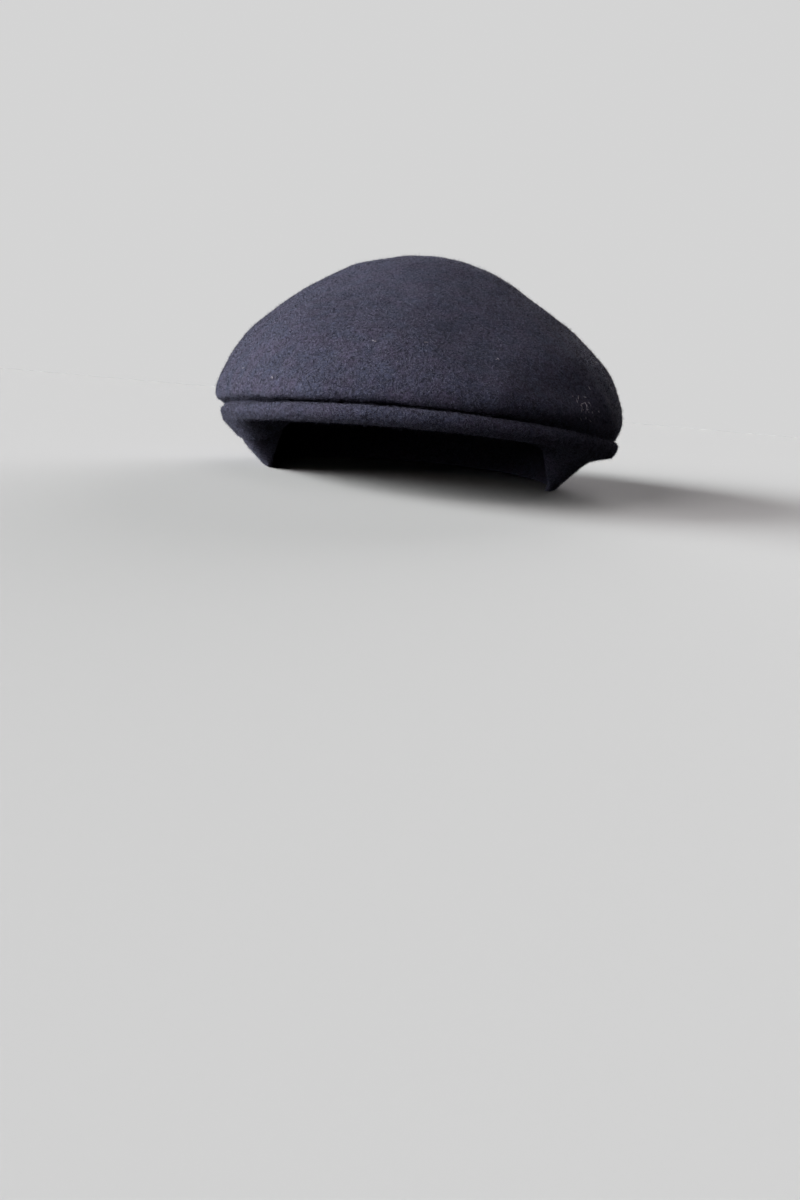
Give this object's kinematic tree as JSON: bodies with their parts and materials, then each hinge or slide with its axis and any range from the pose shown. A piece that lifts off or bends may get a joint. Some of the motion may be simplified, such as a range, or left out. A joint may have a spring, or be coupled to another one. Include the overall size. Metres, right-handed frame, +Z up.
{
  "type": "flat cap",
  "caption": "Flat cap of dark navy wool felt: a soft seamless crown drawn forward over a short stiff peak, open below for the head.",
  "frame": {"origin": "on the level that the rim stands on, at the middle of the cap's length and width", "axes": "+Z up out of the top of the crown, -Y out of the front of the peak, +X to the right of a viewer who faces the peak"},
  "size_m": [0.2081, 0.26, 0.114],
  "materials": {
    "crown_felt": "brushed wool felt with a short nap",
    "peak_felt": "brushed wool felt with a short nap"
  },
  "bodies": {
    "root": {"crown": "crown_felt", "peak": "peak_felt"}
  },
  "joints": []
}
